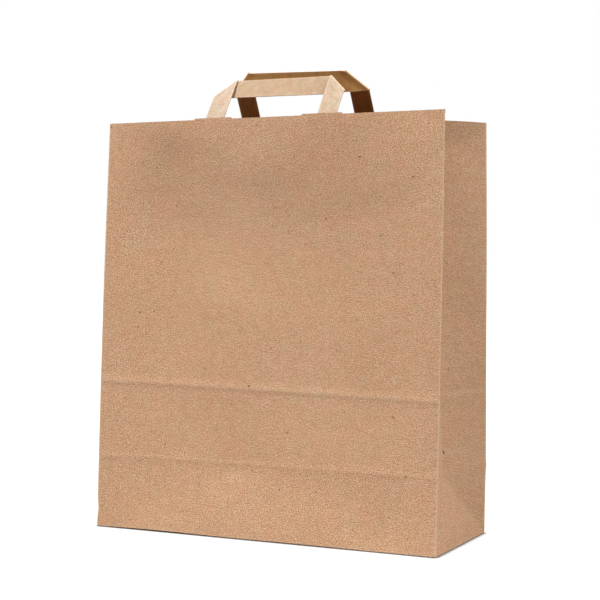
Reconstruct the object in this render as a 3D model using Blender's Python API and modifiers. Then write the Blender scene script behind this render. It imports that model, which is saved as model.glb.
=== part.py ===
"""Paper takeaway bag of brown kraft paper, standing open, with two flat folded paper handles.

Every length is in metres, with Z up. The origin is the middle of the base on the floor,
X runs along the wide panels, and the front panel faces -Y.
"""

import math

import bmesh
import bpy

# Bag sheet
bag_width = 0.320
bag_depth = 0.116
front_height = 0.356
rim_step = 0.0044  # the front panel stands this far above the other three sides
wall = 0.0005
ply = 0.00015  # a fold that lies on the sheet raises it by one ply

# How the open bag stands
front_lean_left = 0.025  # inward lean of the front panel's rim at its left fold
front_lean_right = 0.0195
gusset_apex_depth = 0.0166  # how far in the tip of each gusset's bottom triangle lies
gusset_rim_depth = 0.0305  # how far in each gusset's centre fold lies at the rim

# Creases left from the flat pack
upper_crease_height = 0.1235
lower_crease_height = 0.0625
upper_crease_ridge = 0.0011
lower_crease_ridge = 0.0004
crease_half_width = 0.009
crease_fade_width = 0.004  # over which a ridge dies out beside a corner fold

# Raised tabs of the front rim, one at each handle leg
tab_height = 0.0012
tab_width = 0.0363
left_tab_centre = -0.0540
right_tab_centre = 0.0503

# Folded bottom and glued seam
outer_flap_depth = 0.080
inner_flap_depth = 0.072
flap_inset = 0.0003
seam_width = 0.018
seam_from_left_fold = 0.012

# Handles: a flat strip, folded at 45 degrees at both ends of the grip
strip_width = 0.018
strip_thickness = 0.0008
fold_gap = 0.0004
front_handle_width = 0.126
rear_handle_width = 0.130
front_handle_offset = 0.0005
rear_handle_offset = -0.0055
front_handle_rise = 0.0450
rear_handle_rise = 0.0560
front_handle_lean = math.radians(36.0)
rear_handle_lean = math.radians(26.5)
bend_below_rim = 0.0015
glued_length = 0.042
glue_gap = 0.0003

# Paper patches glued over the ends of the handles
patch_thickness = 0.0004
patch_height = 0.052
patch_below_bend = 0.004
patch_margin = 0.012
patch_ramp = 0.0016

# How finely the sheet is divided
sheet_spacing = 0.045
triangle_rows = 4
fold_arc_steps = 4
rounding = 1e-6

rear_height = front_height - rim_step
base_height = 2 * ply
apex_height = math.sqrt((bag_depth / 2) ** 2 - gusset_apex_depth**2)


def clear_scene():
    for old in list(bpy.data.objects):
        bpy.data.objects.remove(old, do_unlink=True)


def make_material(name, colour, roughness):
    material = bpy.data.materials.new(name)
    material.use_nodes = True
    shader = material.node_tree.nodes["Principled BSDF"]
    shader.inputs["Base Color"].default_value = (*colour, 1.0)
    shader.inputs["Roughness"].default_value = roughness
    shader.inputs["Metallic"].default_value = 0.0
    return material


def make_object(name, vertices, faces, collection, material=None):
    mesh = bpy.data.meshes.new(name)
    mesh.from_pydata([tuple(v) for v in vertices], [], faces)
    mesh.update()
    made = bpy.data.objects.new(name, mesh)
    collection.objects.link(made)
    if material:
        mesh.materials.append(material)
    return made


def thicken(made, thickness, offset):
    """Gives an open surface its thickness: offset -1 is inward, 0 is to both sides."""
    solidify = made.modifiers.new("Thickness", "SOLIDIFY")
    solidify.thickness = thickness
    solidify.offset = offset
    solidify.use_even_offset = True
    solidify.use_rim = True


def as_cutter(made):
    made.hide_render = True
    made.display_type = "WIRE"


def join_to(made, other):
    as_cutter(other)
    union = made.modifiers.new("Join " + other.name, "BOOLEAN")
    union.operation = "UNION"
    union.object = other


def spaced(keys, spacing):
    """The key values in order, with even steps no longer than spacing between them."""
    keys = sorted(set(round(key / rounding) * rounding for key in keys))
    values = []
    for low, high in zip(keys, keys[1:]):
        steps = max(1, math.ceil((high - low) / spacing))
        values += [low + (high - low) * i / steps for i in range(steps)]
    return values + [keys[-1]]


def ridge(height):
    """How far the creases push the front panel outwards at this height."""
    upper = max(0.0, 1 - abs(height - upper_crease_height) / crease_half_width)
    lower = max(0.0, 1 - abs(height - lower_crease_height) / crease_half_width)
    return upper * upper_crease_ridge + lower * lower_crease_ridge


def front_lean(x):
    share = x / bag_width + 0.5
    return front_lean_left * (1 - share) + front_lean_right * share


def fold_fade(x):
    """1 over most of the front panel and 0 at its folds, where a crease's ridge ends."""
    return min(1.0, (bag_width / 2 - abs(x)) / crease_fade_width)


def front_point(x, z):
    y = -bag_depth / 2 + front_lean(x) * z / front_height
    return x, y - ridge(z) * fold_fade(x), z


def rear_point(x, z):
    return x, bag_depth / 2, z


def blend(a, b, share):
    return tuple(p + (q - p) * share for p, q in zip(a, b))


def gusset_point(side, share, z):
    """A point of a gusset: side is 1 on the right, share runs from the front fold to the rear."""
    x_fold = side * bag_width / 2
    front = front_point(x_fold, z)
    rear = rear_point(x_fold, z)
    middle_y = (front[1] + rear[1]) / 2
    if z >= apex_height:
        up = (z - apex_height) / (rear_height - apex_height)
        depth = gusset_apex_depth + (gusset_rim_depth - gusset_apex_depth) * up
        centre = (x_fold - side * depth, middle_y, z)
        if share < 0.5:
            return blend(front, centre, 2 * share)
        return blend(centre, rear, 2 * share - 1)
    up = z / apex_height
    x_fold_in = x_fold - side * gusset_apex_depth * up
    front_diagonal = (x_fold_in, front[1] + (middle_y - front[1]) * up, z)
    rear_diagonal = (x_fold_in, rear[1] + (middle_y - rear[1]) * up, z)
    reach = up / 2
    if share < reach:
        return blend(front, front_diagonal, share / reach)
    if share > 1 - reach:
        return blend(rear, rear_diagonal, (1 - share) / reach)
    return blend(front_diagonal, rear_diagonal, (share - reach) / (1 - 2 * reach))


def make_sheet(collection, material):
    """The one folded sheet as an open box surface, thickened inwards, with its laps joined on."""
    half = bag_width / 2
    tabs = [
        (centre - tab_width / 2, centre + tab_width / 2)
        for centre in (left_tab_centre, right_tab_centre)
    ]
    tab_ends = [x for tab in tabs for x in tab]
    fades = [-half + crease_fade_width, half - crease_fade_width]
    front_columns = spaced([-half, half, *tab_ends, *fades], sheet_spacing)
    rear_columns = spaced([-half, half], sheet_spacing)
    shares = [i / (2 * triangle_rows) for i in range(1, 2 * triangle_rows)]
    creases = [
        height + offset
        for height in (lower_crease_height, upper_crease_height)
        for offset in (-crease_half_width, 0, crease_half_width)
    ]
    triangle = [apex_height * i / triangle_rows for i in range(1, triangle_rows)]
    keys = [base_height, apex_height, *creases, rear_height]
    rows = sorted(set(spaced(keys, sheet_spacing)) | set(triangle))

    def ring(z):
        points = [front_point(x, z) for x in front_columns]
        points += [gusset_point(1, share, z) for share in shares]
        points += [rear_point(x, z) for x in reversed(rear_columns)]
        points += [gusset_point(-1, 1 - share, z) for share in shares]
        return points

    vertices = [point for z in rows for point in ring(z)]
    around = len(ring(rows[0]))
    last = (len(rows) - 1) * around
    faces = [tuple(range(around))[::-1]]
    gusset_start = len(front_columns) - 1
    rear_start = gusset_start + 2 * triangle_rows
    left_start = rear_start + len(rear_columns) - 1
    for i in range(len(rows) - 1):
        for j in range(around):
            low = (i * around + j, i * around + (j + 1) % around)
            high = (low[0] + around, low[1] + around)
            towards_centre_fold = (
                gusset_start <= j < gusset_start + triangle_rows
                or left_start <= j < left_start + triangle_rows
            )
            past_centre_fold = (
                gusset_start + triangle_rows <= j < rear_start
                or left_start + triangle_rows <= j
            )
            if towards_centre_fold:
                faces += [(low[0], low[1], high[1]), (low[0], high[1], high[0])]
            elif past_centre_fold:
                faces += [(low[0], low[1], high[0]), (low[1], high[1], high[0])]
            else:
                faces.append((low[0], low[1], high[1], high[0]))

    # The front panel goes on above the other sides, and its tabs above that
    top = len(vertices)
    vertices += [front_point(x, front_height) for x in front_columns]
    for j in range(len(front_columns) - 1):
        faces.append((last + j, last + j + 1, top + j + 1, top + j))
    for low_x, high_x in tabs:
        inside = [
            j for j, x in enumerate(front_columns)
            if low_x - rounding < x < high_x + rounding
        ]
        crest = len(vertices)
        vertices += [front_point(front_columns[j], front_height + tab_height) for j in inside]
        for step, (j, k) in enumerate(zip(inside, inside[1:])):
            faces.append((top + j, top + k, crest + step + 1, crest + step))

    sheet = make_object("bag_sheet", vertices, faces, collection, material)
    thicken(sheet, wall, -1)
    return sheet, rows


def make_flap(name, side, depth, low, collection):
    """A bottom flap: a trapezoid that starts at one long edge and narrows at 45 degrees."""
    half = bag_width / 2 - flap_inset
    edge = side * (bag_depth / 2 - flap_inset)
    inner = edge - side * depth
    outline = [(-half, edge), (half, edge), (half - depth, inner), (-half + depth, inner)]
    mesh = bpy.data.meshes.new(name)
    flap = bmesh.new()
    face = flap.faces.new([flap.verts.new((x, y, low)) for x, y in outline])
    thickness = base_height + wall / 2 - low
    grown = bmesh.ops.extrude_face_region(flap, geom=[face])
    raised = [item for item in grown["geom"] if isinstance(item, bmesh.types.BMVert)]
    bmesh.ops.translate(flap, verts=raised, vec=(0, 0, thickness))
    bmesh.ops.recalc_face_normals(flap, faces=flap.faces)
    flap.to_mesh(mesh)
    flap.free()
    made = bpy.data.objects.new(name, mesh)
    collection.objects.link(made)
    return made


def make_seam(rows, collection):
    """The glued side seam: a strip one ply proud of the rear panel, from base to rim."""
    left = -bag_width / 2 + seam_from_left_fold
    columns = [left + seam_width, left]
    inset_rows = [rows[0] + flap_inset, *rows[1:-1], rows[-1] - flap_inset]
    vertices = []
    for z in inset_rows:
        for x in columns:
            px, py, pz = rear_point(x, z)
            vertices.append((px, py + ply, pz))
    faces = [(2 * i, 2 * i + 1, 2 * i + 3, 2 * i + 2) for i in range(len(inset_rows) - 1)]
    seam = make_object("seam_lap", vertices, faces, collection)
    thicken(seam, ply + wall / 2, -1)
    return seam


def inner_face(side, x, z):
    """The Y of the bag's inner face on the front (side -1) or the rear (side 1)."""
    outer = front_point(x, z) if side < 0 else rear_point(x, z)
    return outer[1] - side * wall


def make_handle(name, side, width, offset, rise, lean, rim, collection, material):
    """One strip: up from its glued end, a 45 degree fold, the grip, a fold, and down again."""
    bend = rim - bend_below_rim
    to_strip = glue_gap + strip_thickness / 2
    radius = (strip_thickness + fold_gap) / 2
    arc = [math.pi * i / fold_arc_steps for i in range(fold_arc_steps + 1)]

    def glued(x, z):
        return x, inner_face(side, x, z) - side * to_strip, z

    def above(x, up, behind):
        base = glued(x, bend)
        y = base[1] - side * (up * math.sin(lean) + behind * math.cos(lean))
        return x, y, base[2] + up * math.cos(lean) - behind * math.sin(lean)

    def leg(end):
        """Ribs of the leg at this end of the handle, from its glued end to the grip."""
        outer = offset + end * width / 2
        inner = outer - end * strip_width
        ribs = [(glued(x, bend - glued_length) for x in (outer, inner))]
        ribs.append(glued(x, bend) for x in (outer, inner))
        reach = radius * math.sqrt(0.5)
        for angle in arc:
            out = reach * math.sin(angle)
            behind = radius * (1 - math.cos(angle))
            low = above(outer + end * out, rise - strip_width + out, behind)
            high = above(inner + end * out, rise + out, behind)
            ribs.append((low, high))
        return [tuple(rib) for rib in ribs]

    ribs = leg(-1) + leg(1)[::-1]
    vertices = [point for rib in ribs for point in rib]
    faces = [(2 * i, 2 * i + 2, 2 * i + 3, 2 * i + 1) for i in range(len(ribs) - 1)]
    handle = make_object(name, vertices, faces, collection, material)
    thicken(handle, strip_thickness, 0)
    return handle


def make_patch(name, side, width, offset, rim, collection, material):
    """A paper patch inside the panel that runs over both glued legs and down between them."""
    top = rim - bend_below_rim - patch_below_bend
    near = glue_gap + patch_thickness / 2
    far = near + strip_thickness + glue_gap
    half = width / 2
    profile = [(-half - patch_margin, near), (-half - 2 * patch_ramp, near)]
    profile += [(-half - patch_ramp / 2, far), (-half + strip_width + patch_ramp / 2, far)]
    profile.append((-half + strip_width + 2 * patch_ramp, near))
    profile += [(-x, away) for x, away in reversed(profile)]
    rows = spaced([top - patch_height, top], sheet_spacing)
    vertices = []
    for z in rows:
        for x, away in profile:
            place = x + offset
            vertices.append((place, inner_face(side, place, z) - side * away, z))
    across = len(profile)
    faces = []
    for i in range(len(rows) - 1):
        for j in range(across - 1):
            low = i * across + j
            faces.append((low, low + 1, low + across + 1, low + across))
    patch = make_object(name, vertices, faces, collection, material)
    thicken(patch, patch_thickness, 0)
    return patch


def make_bag():
    bag = bpy.data.collections.new("paper_takeaway_bag")
    helpers = bpy.data.collections.new("helpers")
    for collection in (bag, helpers):
        bpy.context.scene.collection.children.link(collection)

    sheet_paper = make_material("kraft_sheet", (0.54, 0.33, 0.19), 0.85)
    sheet, rows = make_sheet(bag, sheet_paper)
    inner_flap = make_flap("inner_flap", 1, inner_flap_depth, ply, helpers)
    outer_flap = make_flap("outer_flap", -1, outer_flap_depth, 0.0, helpers)
    seam = make_seam(rows, helpers)
    for lap in (inner_flap, outer_flap, seam):
        join_to(sheet, lap)

    handles = (
        ("front", -1, front_handle_width, front_handle_offset, front_handle_rise,
         front_handle_lean, front_height, (0.70, 0.47, 0.30)),
        ("rear", 1, rear_handle_width, rear_handle_offset, rear_handle_rise,
         rear_handle_lean, rear_height, (0.52, 0.34, 0.18)),
    )
    for where, side, width, offset, rise, lean, rim, colour in handles:
        strip_paper = make_material("kraft_strip_" + where, colour, 0.8)
        patch_paper = make_material("kraft_patch_" + where, (0.55, 0.35, 0.20), 0.85)
        make_handle(where + "_handle", side, width, offset, rise, lean, rim, bag, strip_paper)
        make_patch(where + "_handle_patch", side, width, offset, rim, bag, patch_paper)


clear_scene()
make_bag()
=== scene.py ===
import bpy
import numpy as np
from mathutils import Matrix


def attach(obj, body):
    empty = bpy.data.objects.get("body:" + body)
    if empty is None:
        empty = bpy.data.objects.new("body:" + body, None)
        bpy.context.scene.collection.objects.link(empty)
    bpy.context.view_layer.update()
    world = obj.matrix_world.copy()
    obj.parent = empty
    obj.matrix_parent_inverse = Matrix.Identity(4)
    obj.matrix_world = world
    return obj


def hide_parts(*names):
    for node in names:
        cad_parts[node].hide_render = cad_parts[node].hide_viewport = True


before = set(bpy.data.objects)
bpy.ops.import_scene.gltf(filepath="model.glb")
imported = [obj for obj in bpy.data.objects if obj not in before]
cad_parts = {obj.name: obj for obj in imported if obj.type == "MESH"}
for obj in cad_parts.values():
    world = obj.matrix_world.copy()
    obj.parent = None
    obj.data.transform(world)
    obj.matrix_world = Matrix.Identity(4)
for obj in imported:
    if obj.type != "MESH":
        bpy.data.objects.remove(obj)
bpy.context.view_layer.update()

print("frame loaded, nodes:", sorted(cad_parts))

# placing: what the camera, the lamps and the pieces share


def addObject(name, data):
    made = bpy.data.objects.new(name, data)
    bpy.context.scene.collection.objects.link(made)
    return made


def aimedAxes(azimuth, elevation, roll=0.0):
    # back points away from the bag, right and up come from cross products, then both turn by
    # the roll
    azimuth, elevation, roll = np.radians([azimuth, elevation, roll])
    back = np.array([
        np.sin(azimuth) * np.cos(elevation), -np.cos(azimuth) * np.cos(elevation), np.sin(elevation)
    ])
    right = np.cross([0.0, 0.0, 1.0], back)
    right /= np.linalg.norm(right)
    up = np.cross(back, right)
    return np.cos(roll) * right + np.sin(roll) * up, np.cos(roll) * up - np.sin(roll) * right, back


def standAt(thing, axes, place):
    matrix = np.eye(4)
    matrix[:3, :3] = np.stack(axes, axis=1)
    matrix[:3, 3] = place
    thing.matrix_world = Matrix(matrix.tolist())


# camera: stands where the photograph was taken from, in the bag's own frame

cameraValues = {
    "place": (0.59268, -1.1845, 0.25265),  # metres
    "azimuth": 26.11,  # degrees round the bag, 0 looks along +Y
    "elevation": 2.27,
    "roll": -0.14,
    "focalPixels": 1527.54,  # for an image 600 pixels wide
    "imageWidth": 600,
    "sensorWidth": 36.0,
}


def makeCamera(values):
    lens = bpy.data.cameras.new("photoCamera")
    lens.sensor_fit = "HORIZONTAL"
    lens.sensor_width = values["sensorWidth"]
    lens.lens = values["focalPixels"] / values["imageWidth"] * values["sensorWidth"]
    lens.clip_start = 0.01
    lens.clip_end = 50.0
    camera = addObject("photoCamera", lens)
    standAt(camera, aimedAxes(values["azimuth"], values["elevation"], values["roll"]), values["place"])
    bpy.context.scene.camera = camera


makeCamera(cameraValues)
print("camera placed")

# numpy helpers: bumps, steps, waves and the meshes made from grids


def smoothStep(low, high, value):
    # 0 below low, 1 above high, and 3t^2 - 2t^3 between them
    t = np.clip((value - low) / (high - low), 0.0, 1.0)
    return t * t * (3.0 - 2.0 * t)


def joined(*parts):
    # arrays that share or stretch to one shape, side by side as coordinates
    return np.stack(np.broadcast_arrays(*parts), axis=-1)


def softBump(distance, halfWidth):
    # a bell: 1 in the middle, and e^-1 one half width away
    return np.exp(-((distance / halfWidth) ** 2))


def softWave(x, z, length, seed, count=5):
    # the sum of a few plain sine waves in seeded directions, scaled to about -1 to 1
    draw = np.random.default_rng(seed)
    total = np.zeros(np.broadcast(x, z).shape)
    for angle, phase, stretch in zip(
        draw.uniform(0, np.pi, count), draw.uniform(0, 2 * np.pi, count), draw.uniform(0.7, 1.6, count)
    ):
        along = x * np.cos(angle) + z * np.sin(angle)
        total = total + np.sin(2 * np.pi * along / (length * stretch) + phase)
    return total / count * 1.4


def withFinerSpots(low, high, spacing, spots):
    # even steps from low to high, and even finer steps inside each (start, end, spacing) spot
    parts = [np.linspace(low, high, int(np.ceil((high - low) / spacing)) + 1)]
    for start, end, fine in spots:
        part = np.linspace(start, end, int(np.ceil((end - start) / fine)) + 1)
        parts = [old[(old < start - fine / 2) | (old > end + fine / 2)] for old in parts] + [part]
    return np.unique(np.round(np.concatenate(parts), 7))


def gridQuads(rows, columns):
    # corner numbers of each cell of a grid whose points are stored row by row
    first = np.arange(rows - 1)[:, None] * columns + np.arange(columns - 1)[None, :]
    first = first.ravel()
    return np.stack([first, first + 1, first + columns + 1, first + columns], axis=1)


def makePiece(name, points, faceSets, uvSets, material, wearHighlight=None):
    # faceSets are arrays of point numbers, one row a face, and uvSets hold their corners' UVs.
    # Edges with a face on one side only are the paper's cut edges, and stay crisp.
    mesh = bpy.data.meshes.new(name)
    loops = np.concatenate([faces.ravel() for faces in faceSets]).astype(np.int32)
    totals = np.concatenate([np.full(len(faces), faces.shape[1]) for faces in faceSets])
    starts = np.concatenate([[0], np.cumsum(totals)[:-1]])
    mesh.vertices.add(len(points))
    mesh.vertices.foreach_set("co", np.asarray(points, dtype=np.float32).ravel())
    mesh.loops.add(len(loops))
    mesh.loops.foreach_set("vertex_index", loops)
    mesh.polygons.add(len(totals))
    mesh.polygons.foreach_set("loop_start", starts.astype(np.int32))
    mesh.polygons.foreach_set("loop_total", totals.astype(np.int32))
    mesh.polygons.foreach_set("use_smooth", np.ones(len(totals), dtype=bool))
    uvMap = mesh.uv_layers.new(name="paperUv")
    flatUv = np.concatenate([uv.reshape(-1, 2) for uv in uvSets]).astype(np.float32)
    uvMap.data.foreach_set("uv", flatUv.ravel())
    # per point paleness along folds and edges: partly wear, partly painted highlight
    if wearHighlight is not None:
        attribute = mesh.attributes.new("foldWearHighlight", "FLOAT", "POINT")
        attribute.data.foreach_set("value", np.asarray(wearHighlight, dtype=np.float32))
    mesh.update(calc_edges=True)
    mesh.validate()
    edgeOfLoop = np.zeros(len(mesh.loops), dtype=np.int32)
    mesh.loops.foreach_get("edge_index", edgeOfLoop)
    isCut = np.bincount(edgeOfLoop, minlength=len(mesh.edges)) == 1
    mesh.attributes.new("sharp_edge", "BOOLEAN", "EDGE").data.foreach_set("value", isCut)
    mesh.materials.append(material)
    return addObject(name, mesh)


def thicken(piece, thickness, offset, morePapers=()):
    # where there are more papers, each face's back has the paper after its front's
    solidify = piece.modifiers.new("paperThickness", "SOLIDIFY")
    solidify.thickness = thickness
    for paper in morePapers:
        piece.data.materials.append(paper)
    solidify.material_offset = 1 if morePapers else 0
    solidify.offset = offset  # -1 grows inwards, 0 both ways
    solidify.use_even_offset = True
    solidify.use_rim = True


def makeLayer(name, points, uv, isFlipped, thickness, papers, wearHighlight=None):
    # a grid of points as one layer of paper, thickened to both sides
    quads = gridQuads(*points.shape[:2])
    if isFlipped:
        quads = quads[:, ::-1]
    piece = makePiece(name, points.reshape(-1, 3), [quads], [uv.reshape(-1, 2)[quads]], papers[0], wearHighlight)
    thicken(piece, thickness, 0, papers[1:])
    return piece


# shader node groups that every paper shares


def newGroup(name):
    # every group reads one set of coordinates
    group = bpy.data.node_groups.new(name, "ShaderNodeTree")
    group.interface.new_socket(name="Coords", in_out="INPUT", socket_type="NodeSocketVector")
    return group, group.nodes.new("NodeGroupInput").outputs["Coords"]


def putOut(group, **values):
    # one output socket for each named value
    for name in values:
        group.interface.new_socket(name=name, in_out="OUTPUT", socket_type="NodeSocketFloat")
    result = group.nodes.new("NodeGroupOutput")
    for name, value in values.items():
        group.links.new(value, result.inputs[name])
    return group


def addMath(tree, operation, first, second=None, clamp=False):
    node = tree.nodes.new("ShaderNodeMath")
    node.operation = operation
    node.use_clamp = clamp
    for place, value in enumerate((first, second)):
        if value is None:
            continue
        if isinstance(value, (int, float)):
            node.inputs[place].default_value = value
        else:
            tree.links.new(value, node.inputs[place])
    return node.outputs[0]


def addMix(tree, factor, first, second, blend="MIX"):
    node = tree.nodes.new("ShaderNodeMix")
    node.data_type = "RGBA"
    node.blend_type = blend
    for socket, value in ((node.inputs[0], factor), (node.inputs[6], first), (node.inputs[7], second)):
        if isinstance(value, (int, float)):
            socket.default_value = value
        elif isinstance(value, tuple):
            socket.default_value = (*value, 1.0)
        else:
            tree.links.new(value, socket)
    return node.outputs[2]


def addLength(tree, vector):
    node = tree.nodes.new("ShaderNodeVectorMath")
    node.operation = "LENGTH"
    tree.links.new(vector, node.inputs[0])
    return node.outputs["Value"]


def addNoise(tree, coords, scale, detail, roughness=0.5, distortion=0.0):
    node = tree.nodes.new("ShaderNodeTexNoise")
    node.noise_dimensions = "3D"
    tree.links.new(coords, node.inputs["Vector"])
    node.inputs["Scale"].default_value = scale
    node.inputs["Detail"].default_value = detail
    node.inputs["Roughness"].default_value = roughness
    node.inputs["Distortion"].default_value = distortion
    return node.outputs["Fac"]


def addRange(tree, value, fromLow, fromHigh, toLow=0.0, toHigh=1.0, smooth=False):
    node = tree.nodes.new("ShaderNodeMapRange")
    node.interpolation_type = "SMOOTHSTEP" if smooth else "LINEAR"
    node.clamp = True
    tree.links.new(value, node.inputs["Value"])
    for socketName, number in (
        ("From Min", fromLow), ("From Max", fromHigh), ("To Min", toLow), ("To Max", toHigh)
    ):
        node.inputs[socketName].default_value = number
    return node.outputs["Result"]


def addStretch(tree, coords, scale, turn):
    node = tree.nodes.new("ShaderNodeMapping")
    tree.links.new(coords, node.inputs["Vector"])
    node.inputs["Scale"].default_value = scale
    node.inputs["Rotation"].default_value = (0.0, 0.0, turn)
    return node.outputs["Vector"]


grainValues = {
    "fineScale": 1350.0,  # per metre: grains under a millimetre
    "coarseScale": 420.0,
    "fineShare": 0.90,
    "fibreStretch": 5.0,
    "fibreScale": 520.0,
    "fibreTurns": (0.35, 1.5, 2.6),  # radians, three crossing runs of fibres
    "fibreRange": (0.56, 0.74),  # of the noise, from no fibre to a full one
    "fibreHeight": 0.5,
}


def makeGrainGroup(values):
    # paper grain: fine noise, coarser noise and three crossing runs of long thin fibres
    group, coords = newGroup("kraftGrain")
    fine = addNoise(group, coords, values["fineScale"], 2.0, 0.6)
    coarse = addNoise(group, coords, values["coarseScale"], 2.0, 0.5)
    grain = addMath(group, "ADD", addMath(group, "MULTIPLY", fine, values["fineShare"]),
                    addMath(group, "MULTIPLY", coarse, 1.0 - values["fineShare"]))
    fibres = None
    for turn in values["fibreTurns"]:
        run = addStretch(group, coords, (1.0, values["fibreStretch"], 1.0), turn)
        thread = addNoise(group, run, values["fibreScale"], 1.0, 0.5, 0.6)
        thread = addRange(group, thread, *values["fibreRange"], smooth=True)
        fibres = thread if fibres is None else addMath(group, "MAXIMUM", fibres, thread)
    height = addMath(group, "ADD", grain, addMath(group, "MULTIPLY", fibres, values["fibreHeight"]))
    return putOut(group, Grain=grain, Fibres=fibres, Height=height)


speckValues = {
    # cells per metre, the share of cells that hold a speck, and its radius as part of a cell
    "dark": (190.0, 0.34, 0.095),
    "bold": (62.0, 0.34, 0.055),
    "pale": (260.0, 0.10, 0.12),
    "shred": 0.10,
}


def addSpeckMask(tree, coords, scale, share, radius, shred):
    # spots of a Voronoi pattern, kept only in the cells whose own random value is low
    wobble = addNoise(tree, coords, scale * 6.0, 2.0, 0.6)
    pushed = tree.nodes.new("ShaderNodeVectorMath")
    pushed.operation = "ADD"
    push = tree.nodes.new("ShaderNodeVectorMath")
    push.operation = "SCALE"
    tree.links.new(coords, pushed.inputs[0])
    tree.links.new(wobble, push.inputs[0])
    push.inputs["Scale"].default_value = shred / scale
    tree.links.new(push.outputs[0], pushed.inputs[1])
    cells = tree.nodes.new("ShaderNodeTexVoronoi")
    cells.feature = "F1"
    cells.voronoi_dimensions = "2D"
    tree.links.new(pushed.outputs[0], cells.inputs["Vector"])
    cells.inputs["Scale"].default_value = scale
    chosen = tree.nodes.new("ShaderNodeSeparateColor")
    tree.links.new(cells.outputs["Color"], chosen.inputs[0])
    isKept = addMath(tree, "LESS_THAN", chosen.outputs[0], share)
    size = addMath(tree, "MULTIPLY", addMath(tree, "ADD", chosen.outputs[1], 0.35), radius)
    ratio = addMath(tree, "DIVIDE", cells.outputs["Distance"], size)
    spot = addRange(tree, ratio, 0.6, 1.0, 1.0, 0.0, smooth=True)
    strength = addMath(tree, "ADD", addMath(tree, "MULTIPLY", chosen.outputs[2], 0.75), 0.25)
    return addMath(tree, "MULTIPLY", addMath(tree, "MULTIPLY", spot, isKept), strength)


def makeSpeckGroup(values):
    # scattered bark specks and pale flakes of pulp
    group, coords = newGroup("kraftSpecks")
    flat = addStretch(group, coords, (1.0, 1.6, 1.0), 0.5)
    dark = addSpeckMask(group, flat, *values["dark"], values["shred"])
    bold = addSpeckMask(group, coords, *values["bold"], values["shred"] / 3)
    dark = addMath(group, "MAXIMUM", addMath(group, "MULTIPLY", dark, 0.8), bold)
    pale = addSpeckMask(group, coords, *values["pale"], values["shred"])
    return putOut(group, Dark=dark, Pale=pale)


cloudValues = {"scale": 55.0, "broadScale": 11.0}


def makeCloudGroup(values):
    # slow changes of tone and tint, as pulp lies thicker in some places
    group, coords = newGroup("kraftClouds")
    small = addNoise(group, coords, values["scale"] * 2.3, 2.0, 0.55)
    broad = addNoise(group, coords, values["broadScale"], 2.0, 0.5)
    tone = addMath(group, "ADD", addMath(group, "MULTIPLY", small, 0.6),
                   addMath(group, "MULTIPLY", broad, 0.4))
    moved = addStretch(group, coords, (1.0, 1.0, 1.0), 1.1)
    tint = addNoise(group, moved, values["scale"], 2.0, 0.5)
    return putOut(group, Tone=tone, Tint=tint)


grainGroup = makeGrainGroup(grainValues)
speckGroup = makeSpeckGroup(speckValues)
cloudGroup = makeCloudGroup(cloudValues)

# papers: one dictionary each, all built from the same three groups

sheetPaper = {
    "colour": (0.552, 0.319, 0.179),  # linear, as lit by plain white light
    "pinkShift": (1.03, 0.99, 0.985),
    "yellowShift": (0.985, 1.01, 0.985),
    "grainContrast": 4.4,
    "shadePowers": (0.85, 1.3, 1.85),  # red, green and blue: thin places are paler and yellower
    "fibreGain": 0.09,
    "cloudContrast": 0.16,
    "speckColour": (0.11, 0.048, 0.021),
    "speckStrength": 0.95,
    "paleColour": (0.80, 0.60, 0.42),
    "paleStrength": 0.18,
    # paler colour along folds and creases: partly wear, partly painted highlight
    "wearHighlightColour": (0.76, 0.56, 0.39),
    "wearHighlightStrength": 0.90,
    "flecks": ({"place": (0.3800, 0.0752), "halfSize": (0.0009, 0.0021), "turn": 0.45},),
    "roughness": 0.86,
    "specular": 0.25,
    "bumpStrength": 0.12,
    "bumpDistance": 0.00012,
}
stripPaper = {
    **sheetPaper,
    "colour": (0.47, 0.345, 0.243),
    "grainContrast": 1.7,
    "cloudContrast": 0.32,
    "speckStrength": 0.5,
    "flecks": (),
    "wearHighlightColour": (0.80, 0.62, 0.45),
    "wearHighlightStrength": 0.40,
    "bumpStrength": 0.22,
}
# the strip's other side, which faces out on the grips once the 45 degree folds turn the strip over; its
# darker, browner tone is partly a second ply and partly painted shade for the grip, which catches less
# light than the legs
innerPlyAndShadePaper = {**stripPaper, "colour": (0.437, 0.30, 0.188)}
# painted shade: darker, browner copies of the strip paper for the rear handle's faces that look into the
# bag, standing in for the shade and the warm light bounced off the kraft there; the legs' copy is the
# darker one
paintedShadeGripPaper = {**stripPaper, "colour": (0.615, 0.325, 0.110)}
paintedShadeLegPaper = {**stripPaper, "colour": (0.33, 0.165, 0.058)}
patchPaper = {**sheetPaper, "flecks": (), "colour": (0.54, 0.34, 0.20), "wearHighlightStrength": 0.15}


def addFleck(tree, coords, values):
    # one oval spot on the piece's own UVs: 1 inside it, 0 beyond
    moved = tree.nodes.new("ShaderNodeMapping")
    moved.vector_type = "TEXTURE"
    tree.links.new(coords, moved.inputs["Vector"])
    moved.inputs["Location"].default_value = (*values["place"], 0.0)
    moved.inputs["Rotation"].default_value = (0.0, 0.0, values["turn"])
    moved.inputs["Scale"].default_value = (*values["halfSize"], 1.0)
    return addRange(tree, addLength(tree, moved.outputs[0]), 0.7, 1.1, 1.0, 0.0, smooth=True)


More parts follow.
